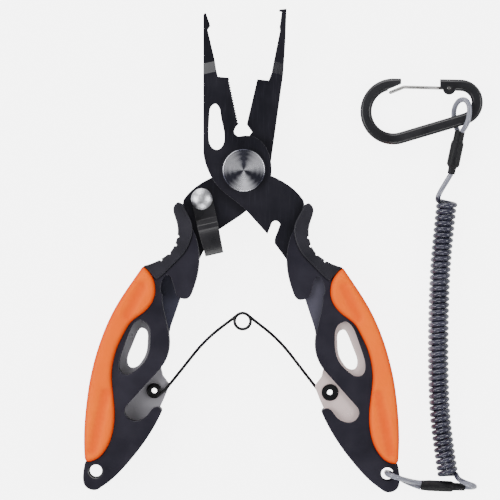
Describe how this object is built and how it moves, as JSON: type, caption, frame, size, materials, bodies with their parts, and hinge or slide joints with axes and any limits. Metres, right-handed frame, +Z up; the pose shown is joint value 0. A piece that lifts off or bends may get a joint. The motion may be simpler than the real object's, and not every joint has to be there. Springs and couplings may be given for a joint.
{
  "type": "fishing pliers",
  "caption": "Open fishing pliers with serrated jaws, cutter, hook tip, handle latch, spreading spring, orange grips and a coiled lanyard with a carabiner.",
  "frame": {"origin": "on the surface the pliers lie on, under the middle of their box (the lanyard and carabiner not counted)", "axes": "+X to the right handle with the lanyard, +Y to the jaw tips, +Z up from the surface, along the pivot"},
  "size_m": [0.1041, 0.1264, 0.011],
  "materials": {
    "blackened_steel": "satin black oxide with a blue tinge",
    "turned_steel": "lathe-turned face",
    "plain_steel": "zinc plated",
    "gunmetal_sheet": "dark gunmetal, satin",
    "bright_chrome": "polished",
    "gloss_black_wire": "gloss black",
    "charcoal_nylon": "fine moulded grain",
    "black_rubber": "matt",
    "orange_rubber": "soft satin",
    "heat_shrink": "shrunk tube",
    "smoky_cord": "clear smoky coating over a dark core",
    "crimp_aluminium": "plain",
    "black_anodised": "black anodised, satin",
    "bright_wire": "bright stainless wire"
  },
  "bodies": {
    "front_lever": {"front_lever_plate": "blackened_steel", "pivot_bolt": "turned_steel", "pivot_washer": "plain_steel", "pivot_nut": "plain_steel", "right_grip": "orange_rubber", "right_thumb_rest": "black_rubber", "right_scale_front": "charcoal_nylon", "right_scale_back": "charcoal_nylon", "right_scale_pins": "plain_steel", "right_spring_eyelet": "gloss_black_wire", "lanyard_lower_loop": "smoky_cord", "lanyard_lower_tail": "smoky_cord", "lanyard_coil": "smoky_cord", "lanyard_upper_tail": "smoky_cord", "lanyard_upper_loop": "smoky_cord", "lanyard_lower_sleeve": "heat_shrink", "lanyard_lower_ferrule": "crimp_aluminium", "lanyard_upper_sleeve": "heat_shrink", "lanyard_upper_ferrule": "crimp_aluminium", "carabiner_body": "black_anodised", "carabiner_gate_pin": "bright_wire"},
    "back_lever": {"back_lever_plate": "blackened_steel", "left_grip": "orange_rubber", "left_thumb_rest": "black_rubber", "left_scale_front": "charcoal_nylon", "left_scale_back": "charcoal_nylon", "left_scale_pins": "plain_steel", "left_spring_eyelet": "gloss_black_wire", "latch_rivet": "bright_chrome", "latch_washer": "plain_steel"},
    "latch": {"latch": "gunmetal_sheet"},
    "spring_left": {"spring_left_arm": "gloss_black_wire"},
    "spring_right": {"spring_right_arm": "gloss_black_wire"},
    "carabiner_gate": {"carabiner_gate": "bright_wire"}
  },
  "joints": [
    {"name": "jaw_pivot", "type": "hinge", "parent": "front_lever", "child": "back_lever", "pos_m": [0, 0.0207, 0.005], "axis": [0, 0, 1], "range_deg": [0, 26.8], "stiffness_Nm_per_rad": 0.4, "springref_deg": -28.65},
    {"name": "latch_turn", "type": "hinge", "parent": "back_lever", "child": "latch", "pos_m": [-0.01095, 0.01313, 0.006], "axis": [0, 0, 1], "range_deg": [0, 33]},
    {"name": "spring_left_turn", "type": "hinge", "parent": "back_lever", "child": "spring_left", "pos_m": [-0.02298, -0.03715, 0.0054], "axis": [0, 0, 1], "range_deg": [0, 20.6]},
    {"name": "spring_right_turn", "type": "hinge", "parent": "front_lever", "child": "spring_right", "pos_m": [0.02298, -0.03715, 0.0046], "axis": [0, 0, 1], "range_deg": [-20.6, 0]},
    {"name": "gate_turn", "type": "hinge", "parent": "front_lever", "child": "carabiner_gate", "pos_m": [0.05378, 0.0428, 0.00268], "axis": [-0.0638, 0, 0.998], "range_deg": [0, 28], "stiffness_Nm_per_rad": 0.004, "springref_deg": -17.19}
  ],
  "couplings": [
    {"joint": "spring_left_turn", "follows": "jaw_pivot", "ratio": 0.759},
    {"joint": "spring_right_turn", "follows": "jaw_pivot", "ratio": -0.759}
  ]
}
